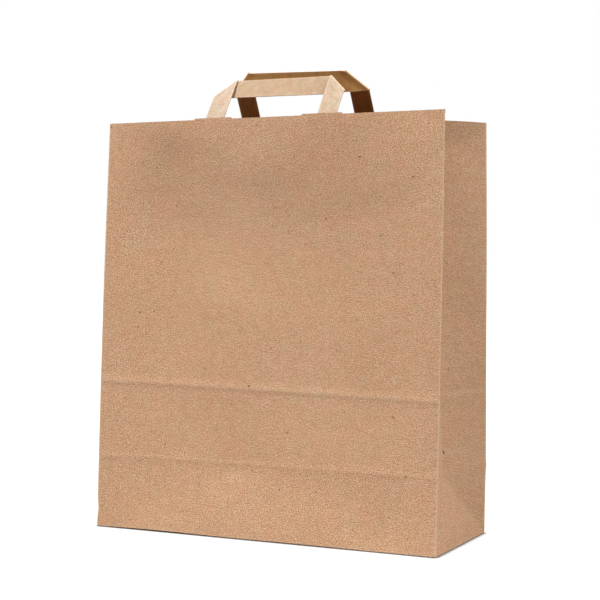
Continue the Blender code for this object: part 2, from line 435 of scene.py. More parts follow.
def makePaper(name, values):
    # base colour x grain x clouds, then fibres, specks, flakes, and folds made paler, partly for wear
    # and partly as painted highlight
    material = bpy.data.materials.new(name)
    material.use_nodes = True
    tree = material.node_tree
    shader = tree.nodes["Principled BSDF"]
    uv = tree.nodes.new("ShaderNodeUVMap")
    uv.uv_map = "paperUv"
    outputs = {}
    for group in (grainGroup, speckGroup, cloudGroup):
        node = tree.nodes.new("ShaderNodeGroup")
        node.node_tree = group
        tree.links.new(uv.outputs["UV"], node.inputs["Coords"])
        outputs.update({socket.name: socket for socket in node.outputs})
    tint = addMix(tree, addRange(tree, outputs["Tint"], 0.36, 0.64), values["pinkShift"],
                  values["yellowShift"])
    colour = addMix(tree, 1.0, values["colour"], tint, "MULTIPLY")
    reach = 0.17  # of the noise, to both sides of its middle
    grain = addRange(tree, outputs["Grain"], 0.5 - reach, 0.5 + reach,
                     1.0 - values["grainContrast"] * reach, 1.0 + values["grainContrast"] * reach)
    cloudHalf = values["cloudContrast"] / 2
    cloud = addRange(tree, outputs["Tone"], 0.3, 0.7, 1.0 - cloudHalf, 1.0 + cloudHalf)
    shade = addMath(tree, "MULTIPLY", grain, cloud)
    shade = addMath(tree, "MULTIPLY", shade,
                    addRange(tree, outputs["Fibres"], 0.0, 1.0, 1.0, 1.0 + values["fibreGain"]))
    shadeColour = tree.nodes.new("ShaderNodeCombineColor")
    for place, power in enumerate(values["shadePowers"]):
        tree.links.new(addMath(tree, "POWER", shade, power), shadeColour.inputs[place])
    colour = addMix(tree, 1.0, colour, shadeColour.outputs[0], "MULTIPLY")
    pale = addMath(tree, "MULTIPLY", outputs["Pale"], values["paleStrength"])
    colour = addMix(tree, pale, colour, values["paleColour"])
    dark = addMath(tree, "MULTIPLY", outputs["Dark"], values["speckStrength"])
    for fleck in values["flecks"]:
        dark = addMath(tree, "MAXIMUM", dark, addFleck(tree, uv.outputs["UV"], fleck))
    colour = addMix(tree, dark, colour, values["speckColour"])
    # paler folds and edges: partly wear, partly painted highlight where light catches the fold
    wearHighlightAttribute = tree.nodes.new("ShaderNodeAttribute")
    wearHighlightAttribute.attribute_name = "foldWearHighlight"
    wearHighlight = addMath(tree, "MULTIPLY", wearHighlightAttribute.outputs["Fac"],
                   addRange(tree, outputs["Grain"], 0.35, 0.65, 0.5, 1.0))
    wearHighlight = addMath(tree, "MULTIPLY", wearHighlight, values["wearHighlightStrength"], clamp=True)
    colour = addMix(tree, wearHighlight, colour, values["wearHighlightColour"])
    tree.links.new(colour, shader.inputs["Base Color"])
    rough = addRange(tree, outputs["Grain"], 0.3, 0.7, values["roughness"] - 0.05,
                     values["roughness"] + 0.05)
    tree.links.new(rough, shader.inputs["Roughness"])
    shader.inputs["Specular IOR Level"].default_value = values["specular"]
    bump = tree.nodes.new("ShaderNodeBump")
    bump.inputs["Strength"].default_value = values["bumpStrength"]
    bump.inputs["Distance"].default_value = values["bumpDistance"]
    tree.links.new(outputs["Height"], bump.inputs["Height"])
    tree.links.new(bump.outputs["Normal"], shader.inputs["Normal"])
    return material


sheetKraft = makePaper("sheetKraft", sheetPaper)
stripKraft = makePaper("stripKraft", stripPaper)
innerPlyAndShadeKraft = makePaper("innerPlyAndShadeKraft", innerPlyAndShadePaper)
paintedShadeGripKraft = makePaper("paintedShadeGripKraft", paintedShadeGripPaper)
paintedShadeLegKraft = makePaper("paintedShadeLegKraft", paintedShadeLegPaper)
patchKraft = makePaper("patchKraft", patchPaper)
print("papers made")

# the folded sheet: front, rear, gussets and block bottom are one surface

bagShape = {
    "width": 0.320,
    "depth": 0.116,
    "frontHeight": 0.356,
    "rimStep": 0.0044,  # how far the front stands above the other sides
    "wall": 0.00035,
    "ply": 0.00015,
    "leanLeft": 0.0258,  # inward lean of the front rim at its left fold
    "leanRight": 0.0195,
    "apexDepth": 0.0166,  # tip of each gusset's bottom triangle
    "rimDepth": 0.0307,  # gusset's centre fold at the rim
    "spacing": 0.0040,
    "edgeSpot": (0.002, 0.0005),  # finer columns beside the folds: how far, and their spacing
    "rowSpots": ((0.0595, 0.0675, 0.0013), (0.1155, 0.1370, 0.0012), (0.297, 0.307, 0.0016)),
    "rimSpot": (0.326, 0.0012),  # finer rows from here to the rim
    "wearHighlightHalf": 0.0009,  # half width of the paler line along a fold, partly wear and partly painted highlight
    "wearHighlightCrease": (0.25, 0.0016),  # how pale the upper crease is, partly as wear and partly as painted highlight, and its half width
    "wearHighlightBase": (0.5, 0.0012),
    "tabHeight": 0.0012,
    "tabs": ((-0.0720, -0.0361), (0.0320, 0.0686)),
    "tabEase": 0.0008,
}
halfWidth = bagShape["width"] / 2
halfDepth = bagShape["depth"] / 2
frontHeight = bagShape["frontHeight"]
rearHeight = frontHeight - bagShape["rimStep"]
baseHeight = 2 * bagShape["ply"]
apexHeight = float(np.sqrt(halfDepth**2 - bagShape["apexDepth"] ** 2))

# Soft places of the front panel where the paper tips up (+) or down (-), in millimetres and
# degrees: middle x, middle z, half width, half height, turn, tip
frontTips = [
    (0, 20, 120, 26, 0, 7.5),
    (-22, 49, 26, 9, 0, 9.0),
    (-60, 34, 40, 12, 20, 3.5),
    (50, 36, 45, 12, -14, 2.0),
    (-110, 8, 45, 12, -6, 6.0),
    (126, 6, 45, 10, 6, 6.0),
    (0, 95, 150, 25, 0, 2.5),
    (-90, 220, 70, 40, 0, 2.5),
    (0, 215, 60, 30, 0, 4.0),
    (-149, 235, 12, 45, 0, 4.5),
    (-149, 140, 12, 60, 0, 4.0),
    (-22, 206, 46, 9, -28, 3.2),
    (104, 197, 30, 7, 28, 4.2),
    (-70, 193, 16, 5, -30, -3.6),
    (-3, 231, 8, 6, -30, -3.0),
    (60, 243, 40, 14, -10, -2.0),
    (-60, 150, 60, 22, 0, 4.2),
    (25, 160, 45, 16, 0, -1.2),
    (134, 215, 30, 80, 0, -5.0),
    (140, 80, 22, 50, 0, -3.0),
    (115, 42, 55, 22, 0, -5.0),
    (0, 305, 170, 34, 0, -7.8),
    (-66, 290, 30, 28, 40, -1.5),
    (-95, 335, 26, 16, -20, -9.0),
    (0, 301, 34, 4, 0, -3.0),
    (-15, 328, 20, 14, 0, 5.5),
    (30, 273, 34, 10, -8, -4.5),
    (110, 286, 48, 11, 8, -5.5),
    (-65, 274, 22, 7, -30, -5.0),
    (-140, 300, 30, 30, 0, -3.0),
    (70, 345, 50, 14, 0, -3.5),
    (-150, 350, 18, 14, 0, -9.5),
    (52, 306, 14, 16, 0, 2.5),
]
frontRelief = {
    "edgeFade": 44.0,  # mm over which the soft places die out beside the folds
    # pressed creases, in mm: height in the middle, fall towards the right, how far the crest
    # stands out, and its width above and below
    "creases": ((126.0, 5.0 / 300.0, 0.66, 3.6, 2.5), (62.6, 0.0, 0.34, 2.0, 2.4)),
    "waveHeight": 0.35,
    "waveLength": 95.0,
    "waveSeed": 11,
}
creaseFade = 4.0  # mm over which a crease dies out beside the folds
waveFade = 30.0  # mm over which the waves grow from the base


def tipHeights(tips, xs, zs):
    # the paper's tips are slopes: the height is their sum up each column, less the straight
    # line that would move the rim, so the base and the rim stay in place
    x, z = np.meshgrid(xs, zs)
    slope = np.zeros_like(x)
    for middleX, middleZ, halfX, halfZ, turn, tip in tips:
        c, s = np.cos(np.radians(turn)), np.sin(np.radians(turn))
        across = (x - middleX) * c + (z - middleZ) * s
        along = -(x - middleX) * s + (z - middleZ) * c
        slope -= np.tan(np.radians(tip)) * softBump(across, halfX) * softBump(along, halfZ)
    step = zs[1] - zs[0]
    height = np.vstack([np.zeros(len(xs)), np.cumsum((slope[1:] + slope[:-1]) / 2 * step, axis=0)])
    return height - height[-1] * (zs / zs[-1])[:, None]


tableX = np.arange(-160.0, 161.0, 2.0)
tableZ = np.arange(0.0, 357.0, 1.0)
frontTable = tipHeights(frontTips, tableX, tableZ)


def lookUp(table, x, z):
    # straight-line reading between the four nearest entries of the table, in millimetres
    column = np.clip((x - tableX[0]) / (tableX[1] - tableX[0]), 0, len(tableX) - 1.001)
    row = np.clip(z, 0, len(tableZ) - 1.001)
    j, i = column.astype(int), row.astype(int)
    s, t = column - j, row - i
    low = table[i, j] * (1 - s) + table[i, j + 1] * s
    high = table[i + 1, j] * (1 - s) + table[i + 1, j + 1] * s
    return low * (1 - t) + high * t


def creaseRidge(z, middle, up, down, height):
    # a crease that stands out: a bell with its own width above and below its crest
    away = z - middle
    return height * np.exp(-((away / np.where(away > 0, up, down)) ** 2))


def panelOut(values, table, x, z):
    # how far a panel stands out of its plain plane, in metres, from metres: its soft places and
    # slow waves, then its creases
    xMm, zMm = np.broadcast_arrays(np.asarray(x) * 1000, np.asarray(z) * 1000)
    fromFold = halfWidth * 1000 - np.abs(xMm)
    wave = values["waveHeight"] * softWave(xMm, zMm, values["waveLength"], values["waveSeed"])
    out = lookUp(table, xMm, zMm) + wave * smoothStep(0, waveFade, zMm)
    out = out * smoothStep(0, values["edgeFade"], fromFold)
    near = np.clip(fromFold / creaseFade, 0, 1)
    for middle, fall, ridge, up, down in values["creases"]:
        out = out + near * creaseRidge(zMm, middle - fall * xMm, up, down, ridge)
    return out / 1000


foldBow = {
    "leftBow": 0.0012,  # outward bow of the front left fold at mid height
    "leftDent": 0.0009,
    "leftDentHeight": 0.016,
    "leftDentHalf": 0.006,
    "rearBow": 0.0012,
    "rearBump": 0.0006,  # where the lower crease runs round the rear right fold
    "rearBumpHeight": 0.0592,
    "rearBumpHalf": 0.0035,
    "plainBow": 0.0005,  # the other two folds
}


def foldShift(side, atRear, z):
    # sideways wander of a vertical fold, outward positive
    values = foldBow
    if side < 0 and not atRear:
        bow = values["leftBow"] * np.sin(np.pi * np.clip(z / frontHeight, 0, 1))
        return bow - values["leftDent"] * softBump(z - values["leftDentHeight"], values["leftDentHalf"])
    if side > 0 and atRear:
        bow = values["rearBow"] * smoothStep(0, 0.07, z) * (1 - 0.5 * smoothStep(0.25, rearHeight, z))
        return bow + values["rearBump"] * softBump(z - values["rearBumpHeight"], values["rearBumpHalf"])
    return values["plainBow"] * np.sin(np.pi * np.clip(z / frontHeight, 0, 1))


def sideShift(x, atRear, z):
    # both folds' wander, shared out over the panel between them
    share = x / bagShape["width"] + 0.5
    return foldShift(1, atRear, z) * share**3 - foldShift(-1, atRear, z) * (1 - share) ** 3


def frontSkin(x, z):
    share = x / bagShape["width"] + 0.5
    lean = bagShape["leanLeft"] * (1 - share) + bagShape["leanRight"] * share
    y = -halfDepth + lean * z / frontHeight - panelOut(frontRelief, frontTable, x, z)
    return joined(x + sideShift(x, False, z), y, z)


rearTips = [
    (0, 25, 110, 25, 0, 3.0),
    (40, 200, 90, 40, 10, 2.0),
    (-60, 290, 60, 30, -15, -2.5),
    (70, 310, 70, 25, 8, -2.0),
    (0, 296, 40, 5, 0, -2.5),
]
rearRelief = {
    "edgeFade": 34.0,
    "creases": ((124.0, -1.0 / 90.0, 0.40, 4.0, 3.2), (61.0, -1.0 / 90.0, 0.14, 4.0, 3.2)),
    "waveHeight": 0.4,
    "waveLength": 110.0,
    "waveSeed": 23,
    "topBack": 0.0012,  # metres by which the rim leans back
}
sideSeam = {
    "fromLeftFold": 0.012,
    "width": 0.018,
    "ease": 0.0004,
    "ply": 0.00022,
    "spot": (0.0005, 0.00025),  # finer columns at both its sides: half width and spacing
}
rearTable = tipHeights(rearTips, tableX, tableZ)


def seamProud(x):
    # the glued lap stands one ply proud of the rear panel, with eased sides
    start = -halfWidth + sideSeam["fromLeftFold"]
    end = start + sideSeam["width"]
    ease = sideSeam["ease"]
    return sideSeam["ply"] * smoothStep(start - ease, start, x) * smoothStep(end + ease, end, x)


def rearSkin(x, z):
    out = panelOut(rearRelief, rearTable, x, z) + rearRelief["topBack"] * z / frontHeight
    y = halfDepth + out + seamProud(x)
    return joined(x + sideShift(x, True, z), y, z)


gussetRelief = {
    "creases": ((0.1174, 0.00022), (0.0581, 0.00010)),  # heights and how far they stand out
    "creaseHalf": 0.0030,
    "centreCrease": 0.00035,  # the flat bag's centre fold goes on down the bottom triangle
    "centreHalf": 0.0030,
    "rimFlare": 0.22,  # slope of the facet that leans out under the rim, below it a slanted crease
    "flareAtFold": 0.009,  # how far below the rim that crease runs
    "flareAtCentre": 0.024,
    "flareRound": 0.0008,
    "flareEase": 3.0,  # its slope is full a third of the way from a fold to the centre
    "foldEase": 0.004,  # all of this dies out this close to a fold
    "centreFade": 0.008,
    "waveFade": 0.030,
    "wave": 0.00030,
    "waveLength": 0.080,
}


def gussetSkin(side, share, z):
    # Above the apex two straight halves meet at the centre fold. Below it a triangle leans in
    # between two diagonal folds that run from the base corners to the apex.
    share, z = np.broadcast_arrays(share, z)
    foldX = side * halfWidth
    front = frontSkin(np.full(share.shape, foldX), z)
    rear = rearSkin(np.full(share.shape, foldX), z)
    middleY = (front[..., 1] + rear[..., 1]) / 2
    up = (z - apexHeight) / (rearHeight - apexHeight)
    depth = bagShape["apexDepth"] + (bagShape["rimDepth"] - bagShape["apexDepth"]) * up
    centre = joined(foldX - side * depth, middleY, z)
    toCentre = np.clip(2 * share, 0, 1)[..., None]
    toRear = np.clip(2 * share - 1, 0, 1)[..., None]
    above = np.where((share < 0.5)[..., None], front + (centre - front) * toCentre,
                     centre + (rear - centre) * toRear)
    low = np.clip(z / apexHeight, 1e-6, 1)
    foldIn = foldX - side * bagShape["apexDepth"] * low
    frontDiagonal = joined(foldIn, front[..., 1] + (middleY - front[..., 1]) * low, z)
    rearDiagonal = joined(foldIn, rear[..., 1] + (middleY - rear[..., 1]) * low, z)
    reach = low / 2
    partFront = np.clip(share / reach, 0, 1)[..., None]
    partRear = np.clip((1 - share) / reach, 0, 1)[..., None]
    inside = np.clip((share - reach) / np.maximum(1 - 2 * reach, 1e-6), 0, 1)[..., None]
    below = np.where(
        (share < reach)[..., None], front + (frontDiagonal - front) * partFront,
        np.where((share > 1 - reach)[..., None], rear + (rearDiagonal - rear) * partRear,
                 frontDiagonal + (rearDiagonal - frontDiagonal) * inside))
    point = np.where((z >= apexHeight)[..., None], above, below)
    return point + gussetOut(side, share, z)[..., None] * np.array([side, 0.0, 0.0])


def gussetOut(side, share, z):
    # creases, the rim's flare and slow waves, all pushed outwards along X
    values = gussetRelief
    fromFold = np.minimum(share, 1 - share) * bagShape["depth"]
    near = np.clip(fromFold / values["foldEase"], 0, 1)
    out = np.zeros(np.broadcast(share, z).shape)
    for height, ridge in values["creases"]:
        out = out + ridge * softBump(z - height, values["creaseHalf"])
    acrossCentre = (share - 0.5) * bagShape["depth"]
    out = out + values["centreCrease"] * softBump(acrossCentre, values["centreHalf"]) * smoothStep(
        apexHeight, apexHeight - values["centreFade"], z)
    besideCentre = np.clip(1 - 2 * np.abs(share - 0.5), 0, 1)
    crease = rearHeight - values["flareAtFold"] - (
        values["flareAtCentre"] - values["flareAtFold"]) * besideCentre
    above = (z - crease) / values["flareRound"]
    out = out + values["rimFlare"] * values["flareRound"] * np.logaddexp(0, above) * np.clip(
        besideCentre * values["flareEase"], 0, 1)
    wave = softWave(share * bagShape["depth"], z, values["waveLength"], 31 if side > 0 else 37)
    return (out + values["wave"] * wave * smoothStep(0, values["waveFade"], z)) * near


bottomLift = {
    # the front's bottom edge rises a little off the floor: middle x, half width, rise
    "front": ((-0.096, 0.048, 0.0007), (0.035, 0.055, 0.0003)),
    "rear": ((0.010, 0.090, 0.0006),),
    "fade": 0.010,  # upwards
    "inward": 0.030,  # towards the middle of the base
    "cornerFade": 0.020,
    "edgeReach": 0.004,
}


def edgeLift(x, atRear):
    total = np.zeros_like(x)
    for middle, half, rise in bottomLift["rear" if atRear else "front"]:
        total = total + rise * softBump(x - middle, half)
    return total * smoothStep(halfWidth, halfWidth - bottomLift["cornerFade"], np.abs(x))


def baseLift(x, y):
    # the lift fades from each long edge towards the middle of the base
    front = edgeLift(x, False) * softBump(y + halfDepth, bottomLift["inward"])
    rear = edgeLift(x, True) * softBump(y - halfDepth, bottomLift["inward"])
    return front + rear


def tabRise(x):
    total = np.zeros_like(x)
    ease = bagShape["tabEase"]
    for start, end in bagShape["tabs"]:
        total = total + smoothStep(start - ease, start, x) * smoothStep(end + ease, end, x)
    return bagShape["tabHeight"] * total


def makeBagSheet():
    # Stations run once round the bag and rows run up it. The gusset's stations and the low
    # rows share one list of steps, so the diagonal folds pass through the grid's own points.
    shape = bagShape
    foldSteps = np.concatenate([[0, 0.008, 0.017, 0.03, 0.055], np.linspace(0.1, 0.9, 13),
                                [0.945, 0.97, 0.985, 1.0]])
    shares = np.concatenate([foldSteps / 2, 1 - foldSteps[-2::-1] / 2])
    ease = shape["tabEase"]
    spots = [(x - ease, x + ease, ease / 2) for tab in shape["tabs"] for x in tab]
    seamStart = -halfWidth + sideSeam["fromLeftFold"]
    half, fine = sideSeam["spot"]
    spots += [(x - half, x + half, fine) for x in (seamStart, seamStart + sideSeam["width"])]
    reach, fine = shape["edgeSpot"]
    spots += [(-halfWidth, -halfWidth + reach, fine), (halfWidth - reach, halfWidth, fine)]
    columns = withFinerSpots(-halfWidth, halfWidth, shape["spacing"], spots)
    lowRows = baseHeight + (apexHeight - baseHeight) * foldSteps
    lowRows[0] = baseHeight
    rimStart, fine = shape["rimSpot"]
    highRows = withFinerSpots(apexHeight, rearHeight, shape["spacing"],
                              [*shape["rowSpots"], (rimStart, rearHeight, fine)])
    rows = np.concatenate([lowRows[:-1], highRows])
    gussetRows = (rows - baseHeight) / (apexHeight - baseHeight) * apexHeight
    gussetRows = np.where(rows < apexHeight, gussetRows, rows)

    count, sideCount = len(columns), len(shares)
    gridZ = rows[:, None]
    front = frontSkin(columns[None, :], gridZ)
    right = gussetSkin(1, shares[None, :], gussetRows[:, None])
    rear = rearSkin(columns[None, ::-1], gridZ)
    left = gussetSkin(-1, 1 - shares[None, :], gussetRows[:, None])
    for side in (right, left):
        side[..., 2] = gridZ
    ring = np.concatenate([front[:, :-1], right[:, :-1], rear[:, :-1], left[:, :-1]], axis=1)
    around = ring.shape[1]
    fade = np.exp(-(gridZ - baseHeight) / bottomLift["fade"])
    atEdge = np.abs(np.abs(ring[..., 1]) - halfDepth) < bottomLift["edgeReach"]
    edgeY = np.where(ring[..., 1] < 0, -halfDepth, halfDepth)
    ring[..., 2] += fade * baseLift(ring[..., 0], edgeY) * atEdge

    # the first station is repeated at the end, so the UVs close cleanly
    numbers = np.arange(len(rows) * around).reshape(len(rows), around)
    numbers = np.concatenate([numbers, numbers[:, :1]], axis=1)
    u = np.concatenate([columns[:-1] + halfWidth,
                        2 * halfWidth + shares[:-1] * shape["depth"],
                        2 * halfWidth + shape["depth"] + halfWidth - columns[:0:-1],
                        4 * halfWidth + shape["depth"] + shares * shape["depth"]])
    uv = joined(u[None, :], gridZ).reshape(-1, 2)
    quads = gridQuads(len(rows), around + 1)
    station = quads[:, 0] % (around + 1)
    isLow = rows[quads[:, 0] // (around + 1)] < apexHeight - 1e-7
    starts = np.cumsum([0, count - 1, sideCount - 1, count - 1])
    half = (sideCount - 1) // 2
    rising = np.zeros(len(quads), bool)
    falling = np.zeros(len(quads), bool)
    for start in (starts[1], starts[3]):
        offset = station - start
        rising |= isLow & (offset >= 0) & (offset < half)
        falling |= isLow & (offset >= half) & (offset < sideCount - 1)
    plain = quads[~rising & ~falling]
    up, down = quads[rising], quads[falling]
    split = np.concatenate([up[:, [0, 1, 2]], up[:, [0, 2, 3]], down[:, [0, 1, 3]], down[:, [1, 2, 3]]])
    flatNumbers = numbers.ravel()
    faceSets = [flatNumbers[plain], flatNumbers[split]]
    uvSets = [uv[plain], uv[split]]
    points = [ring.reshape(-1, 3)]
    total = ring.shape[0] * around

    # the front goes on above the other sides and ends in the two raised tabs
    topSteps = np.linspace(0, 1, 4)[1:, None]
    rim = frontHeight + tabRise(columns)
    topZ = rearHeight + (rim - rearHeight)[None, :] * topSteps
    top = frontSkin(columns[None, :], topZ)
    newNumbers = total + np.arange(topZ.size).reshape(topZ.shape)
    topNumbers = np.concatenate([numbers[-1:, :count], newNumbers])
    topUv = joined(columns + halfWidth, np.vstack([np.full(count, rearHeight), topZ])).reshape(-1, 2)
    topQuads = gridQuads(len(topNumbers), count)
    faceSets.append(topNumbers.ravel()[topQuads])
    uvSets.append(topUv[topQuads])
    points.append(top.reshape(-1, 3))
    total += top.shape[0] * count

    # the base: a grid between the four bottom edges, sharing their points
    sideY = ring[0, count - 1:count - 1 + sideCount, 1]
    x, y = np.meshgrid(columns, sideY)
    z = baseHeight + baseLift(x, y)
    inner = joined(x, y, z)[1:-1, 1:-1]
    baseNumbers = np.empty((sideCount, count), int)
    baseNumbers[0] = numbers[0, :count]
    baseNumbers[-1] = numbers[0, starts[2]:starts[2] + count][::-1]
    baseNumbers[:, -1] = numbers[0, starts[1]:starts[1] + sideCount]
    baseNumbers[:, 0] = numbers[0, starts[3]:starts[3] + sideCount][::-1]
    baseNumbers[1:-1, 1:-1] = total + np.arange(inner.shape[0] * inner.shape[1]).reshape(inner.shape[:2])
    baseQuads = gridQuads(sideCount, count)[:, ::-1]
    baseUv = joined(x, y - 0.2).reshape(-1, 2)
    faceSets.append(baseNumbers.ravel()[baseQuads])
    uvSets.append(baseUv[baseQuads])
    points.append(inner.reshape(-1, 3))
    points = np.concatenate(points)

    # folds paler within about a millimetre of a fold: partly wear, partly painted highlight
    fold = np.zeros(len(points))
    inGusset = np.minimum(shares, 1 - shares)[:-1] * shape["depth"]
    fromFold = [halfWidth - np.abs(columns[:-1]), inGusset, halfWidth - np.abs(columns[:0:-1]), inGusset]
    stationFold = softBump(np.concatenate(fromFold), shape["wearHighlightHalf"])
    middle, fall = frontRelief["creases"][0][:2]
    (palest, creaseHalf), (basePalest, baseHalf) = shape["wearHighlightCrease"], shape["wearHighlightBase"]
    rowFold = np.maximum(palest * softBump(gridZ - (middle / 1000 - fall * ring[..., 0]), creaseHalf),
                         basePalest * softBump(gridZ - baseHeight, baseHalf))
    fold[:ring.shape[0] * around] = np.maximum(stationFold[None, :], rowFold).ravel()
    sheet = makePiece("bagSheet", points, faceSets, uvSets, sheetKraft, fold)
    thicken(sheet, shape["wall"], -1)
    return sheet


bagSheet = makeBagSheet()
print("bag sheet folded:", len(bagSheet.data.polygons), "faces")

# the bottom's two long flaps, glued one over the other under the base

flapValues = {
    "outerDepth": 0.080,
    "innerDepth": 0.072,
    "inset": 0.0006,
    "thickness": 0.00014,
    "liftShare": 0.98,  # of the base's lift, so the flaps stay clear of it
    "wavy": 0.0004,  # how far the cut edge wanders
}


def makeFlap(name, side, depth, low, material):
    # a trapezoid from one long edge: across runs 0 to 1 from that edge, and its ends draw in
    # at 45 degrees
    values = flapValues
    along = np.linspace(-1, 1, 81)[None, :]
    across = np.concatenate([[0, 0.01, 0.03], np.linspace(0.08, 1, 14)])[:, None]
    edge = side * (halfDepth - values["inset"])
    reach = depth + values["wavy"] * softWave(along, along * 0, 0.4, 5 if side < 0 else 9)
    y = edge - side * reach * across
    half = halfWidth - values["inset"] - depth * across
    x = along * half
    z = low + values["thickness"] / 2 + baseLift(x, y) * values["liftShare"]
    return makeLayer(name, joined(x, y, z), joined(x + 0.5, y + 0.5), side < 0, values["thickness"],
                     [material])


innerFlap = makeFlap("innerBottomFlap", 1, flapValues["innerDepth"], bagShape["ply"], sheetKraft)
outerFlap = makeFlap("outerBottomFlap", -1, flapValues["outerDepth"], 0.0, sheetKraft)
print("bottom flaps glued")

# handles: flat strips folded at 45 degrees at both ends of the grip

stripValues = {
    "thickness": 0.00075,
    "foldGap": 0.0010,
    "bendBelowRim": 0.0015,
    "gluedLength": 0.042,
    "glueGap": 0.00025,
    "across": 9,
    "gluedRows": 12,
    "legRows": 14,
    "foldRows": 8,
    "gripRows": 44,
    # paler cut edges and folds of the strip: partly wear, partly painted highlight
    "wearHighlightHalf": 0.0006,
    "wearHighlightEdge": 0.6,
    "wearHighlightFold": 0.7,
    "gripWave": 0.00025,
}
frontHandleValues = {
    "side": -1,
    "width": 0.1254,
    "offset": 0.0005,
    "riseLeft": 0.0449,
    "riseRight": 0.0446,
    "leanLeft": 36.0,
    "leanRight": 35.9,
    "legWidth": 0.0179,
    "gripWidth": 0.0179,
    "swingLeft": 4.2,  # degrees by which the grip hangs more upright than the legs
    "swingRight": 8.5,
    "bow": 0.0006,
    "seed": 41,
}
rearHandleValues = {
    "side": 1,
    "width": 0.1318,
    "offset": -0.0060,
    "riseLeft": 0.0576,
    "riseRight": 0.0552,
    "leanLeft": 26.4,
    "leanRight": 28.4,
    "legWidth": 0.0189,
    "gripWidth": 0.0189,
    "swingLeft": 10.0,
    "swingRight": 9.0,
    "bow": 0.0005,
    "seed": 47,
}


def innerFace(side, x, z):
    # Y of the paper's inner face on the front (side -1) or the rear (side 1)
    skin = frontSkin(x, z) if side < 0 else rearSkin(x, z)
    return skin[..., 1] - side * bagShape["wall"]


def makeHandle(name, values, rim, papers):
    # Ribs cross the strip. They climb the leg, swing round the 45 degree fold on a half
    # circle, run along the grip behind the leg, and come down the other leg the same way.
    side, width, gripWidth = values["side"], values["legWidth"], values["gripWidth"]
    bend = rim - stripValues["bendBelowRim"]
    toStrip = stripValues["glueGap"] + stripValues["thickness"] / 2
    radius = (stripValues["thickness"] + stripValues["foldGap"]) / 2
    reach = radius * np.sqrt(0.5)
    foldRows = stripValues["foldRows"]
    leftX = values["offset"] - values["width"] / 2
    rightX = values["offset"] + values["width"] / 2

    def alongShare(x):
        return (x - leftX) / (rightX - leftX)

    def above(x, up, behind, swing=0.0, fromTop=0.0):
        # A point of the leaning plane over the bend, pushed back by behind. What lies fromTop
        # under the grip's upper edge also swings about that edge, by an angle.
        share = np.clip(alongShare(x), 0, 1)
        lean = np.radians(values["leanLeft"] + (values["leanRight"] - values["leanLeft"]) * share)
        start = innerFace(side, x, np.full_like(x, bend)) - side * toStrip
        away = up * np.sin(lean) + fromTop * (np.sin(lean) - np.sin(lean - swing))
        y = start - side * (away + behind / np.cos(lean))
        z = bend + up * np.cos(lean) - fromTop * (np.cos(lean - swing) - np.cos(lean))
        return joined(x, y, z)

    def rise(end):
        return values["riseLeft"] if end < 0 else values["riseRight"]

    v = np.linspace(0, 1, stripValues["across"])[None, :]

    def legRows(end):
        outer = values["offset"] + end * values["width"] / 2
        inner = outer - end * width
        x = outer + (inner - outer) * v
        down = np.linspace(stripValues["gluedLength"], 0, stripValues["gluedRows"])[:-1, None]
        gluedX, gluedZ = np.broadcast_arrays(x, bend - down)
        glued = joined(gluedX, innerFace(side, gluedX, gluedZ) - side * toStrip, gluedZ)
        t = np.linspace(0, 1, stripValues["legRows"])[:, None]
        top = rise(end) - gripWidth + v * gripWidth
        up = t * top
        bow = -values["bow"] * np.sin(np.pi * t) * (0.6 + 0.4 * np.sin(np.pi * v))
        leg = above(x + 0 * up, up, bow + 0 * x)
        angle = np.linspace(0, np.pi, foldRows + 1)[1:, None]
        out = reach * np.sin(angle)
        fold = above(x + end * out, top + out, radius * (1 - np.cos(angle)) + 0 * x)
        return np.concatenate([glued, leg, fold])

    left, right = legRows(-1), legRows(1)
    steps = np.linspace(0, 1, stripValues["gripRows"])[1:-1, None]
    lowX = leftX + (rightX - leftX) * steps
    highX = (leftX + width) + (rightX - leftX - 2 * width) * steps
    x = lowX + (highX - lowX) * v
    riseHere = values["riseLeft"] + (values["riseRight"] - values["riseLeft"]) * alongShare(x)
    fromTop = gripWidth * (1 - v)
    up = riseHere - fromTop
    wave = stripValues["gripWave"] * softWave(x, up, 0.05, values["seed"])
    behind = 2 * radius + wave * smoothStep(0, 0.01, np.minimum(x - lowX[0], lowX[-1] - x))
    share = alongShare(x)
    fromLeft = np.clip((x - leftX + fromTop - width) / np.sqrt(2), 0, None)
    fromRight = np.clip((rightX - x + fromTop - width) / np.sqrt(2), 0, None)
    opened = smoothStep(0, width * 0.6, np.minimum(fromLeft, fromRight))
    swing = np.radians(values["swingLeft"] * (1 - share) + values["swingRight"] * share) * opened
    grip = above(x, up, behind, swing, fromTop)
    points = np.concatenate([left, grip, right[::-1]])
    rows, across = points.shape[:2]
    ribSteps = np.linalg.norm(np.diff(points.mean(axis=1), axis=0), axis=1)
    length = np.concatenate([[0], np.cumsum(ribSteps)])
    uv = joined(length[:, None] + 0.7, v * width)
    # paler cut edges and fold bends: partly wear, partly painted highlight
    edge = softBump(np.minimum(v, 1 - v) * width, stripValues["wearHighlightHalf"])
    wearHighlight = np.broadcast_to(edge * stripValues["wearHighlightEdge"], (rows, across)).copy()
    for start in (len(left) - foldRows, len(left) + len(grip)):
        folded = slice(start, start + foldRows)
        wearHighlight[folded] = np.maximum(wearHighlight[folded], stripValues["wearHighlightFold"])
    handle = makeLayer(name, points, uv, side > 0, stripValues["thickness"], papers, wearHighlight.ravel())
    if len(papers) > 2:
        # the grip has its own pair of papers, from the middle of each fold
        row = np.arange((rows - 1) * (across - 1)) // (across - 1)
        inFold = foldRows // 2
        isGrip = (row >= len(left) - inFold) & (row < len(left) + len(grip) + inFold - 1)
        handle.data.polygons.foreach_set("material_index", np.where(isGrip, 2, 0).astype(np.int32))
    return handle


frontHandle = makeHandle("frontHandle", frontHandleValues, frontHeight, (stripKraft, innerPlyAndShadeKraft))
